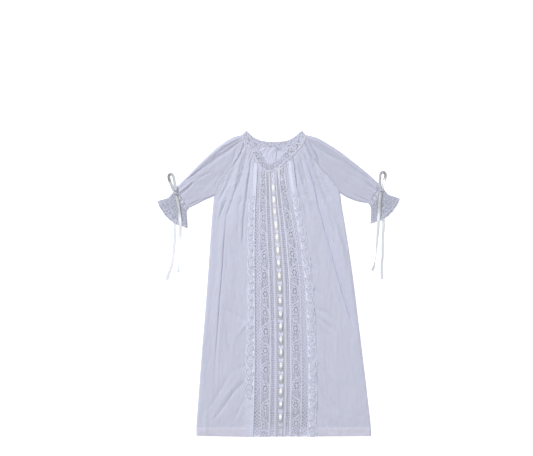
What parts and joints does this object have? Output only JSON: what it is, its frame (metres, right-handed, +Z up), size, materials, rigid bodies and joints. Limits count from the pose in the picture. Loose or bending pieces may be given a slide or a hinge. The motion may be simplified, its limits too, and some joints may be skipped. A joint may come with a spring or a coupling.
{
  "type": "baby daygown",
  "caption": "Long-sleeved baby daygown laid flat, with a lace front panel threaded with ribbon, gathered lace frills, a lace neckband and beribboned cuffs.",
  "frame": {"origin": "on the surface that the gown lies on, under the middle of the gown without its ribbon ties", "axes": "+X to the right of someone facing the front, +Y from the hem to the neck, +Z up from the surface, out of the front"},
  "size_m": [0.5348, 0.6738, 0.0116],
  "materials": {
    "batiste": "matt fine cotton batiste",
    "lace": "matt cotton lace",
    "satin": "glossy satin ribbon"
  },
  "bodies": {
    "root": {"back_left": "batiste", "back_right": "batiste", "back_hem": "batiste", "front_hem": "batiste", "front_left": "batiste", "front_right": "batiste", "sleeve_left": "batiste", "sleeve_right": "batiste", "neckband": "lace", "lace_net_left": "lace", "lace_scroll_left": "lace", "lace_narrow_left": "lace", "lace_beading": "lace", "lace_narrow_right": "lace", "lace_scroll_right": "lace", "lace_net_right": "lace", "frill_left": "lace", "frill_right": "lace", "cuff_left": "lace", "cuff_right": "lace", "cuff_frill_left": "lace", "cuff_frill_right": "lace", "lace_ribbon": "satin", "cuff_ribbon_left": "satin", "cuff_ribbon_right": "satin", "bow_knot_left": "satin", "bow_knot_right": "satin", "bow_loop_left": "satin", "bow_loop_right": "satin", "tail_front_left": "satin", "tail_front_right": "satin", "tail_back_left": "satin", "tail_back_right": "satin"}
  },
  "joints": []
}
